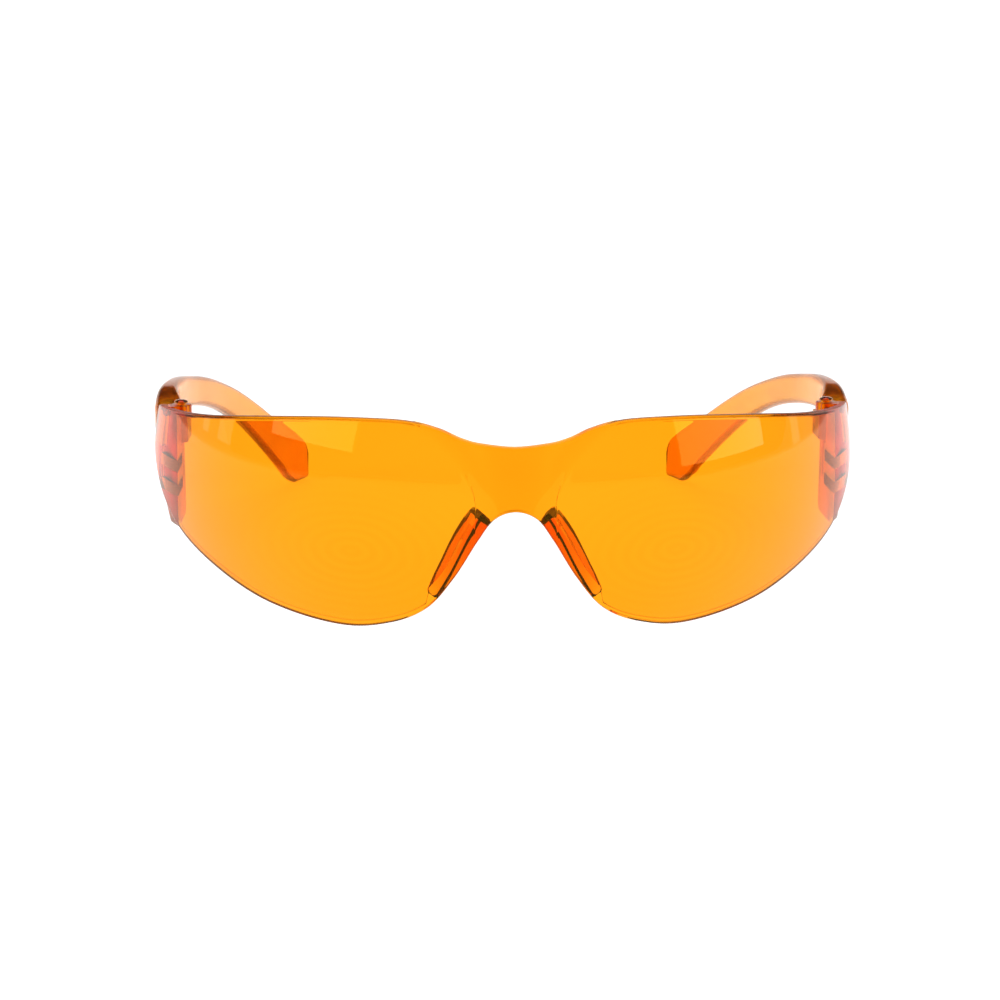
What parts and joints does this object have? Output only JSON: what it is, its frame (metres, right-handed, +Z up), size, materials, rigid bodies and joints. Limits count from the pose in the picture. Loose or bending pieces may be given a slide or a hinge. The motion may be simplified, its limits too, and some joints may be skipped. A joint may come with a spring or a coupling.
{
  "type": "safety glasses",
  "caption": "Frameless wraparound safety glasses: a curved one-piece tinted lens with integral nose rests and two folding temples on vertical hinge pins.",
  "frame": {"origin": "on the table under the middle of the glasses' box, with the lens's lower edge and both temple tips on z = 0", "axes": "+X towards the temple on the right seen from the front, +Y from the lens back to the temple tips, +Z up"},
  "size_m": [0.1438, 0.1536, 0.0411],
  "materials": {
    "lens_polycarbonate": "clear orange polycarbonate, polished, hard coated",
    "temple_polycarbonate": "clear orange polycarbonate, polished",
    "pin_plastic": "amber plastic, smooth"
  },
  "bodies": {
    "front": {"lens": "lens_polycarbonate", "hinge_pin_left": "pin_plastic", "hinge_pin_right": "pin_plastic"},
    "left_temple": {"temple_left": "temple_polycarbonate"},
    "right_temple": {"temple_right": "temple_polycarbonate"}
  },
  "joints": [
    {"name": "left_fold", "type": "hinge", "parent": "front", "child": "left_temple", "pos_m": [-0.0658, -0.02432, 0.031], "axis": [0, 0, -1], "range_deg": [0, 82]},
    {"name": "right_fold", "type": "hinge", "parent": "front", "child": "right_temple", "pos_m": [0.0658, -0.02432, 0.031], "axis": [0, 0, 1], "range_deg": [0, 94]}
  ]
}
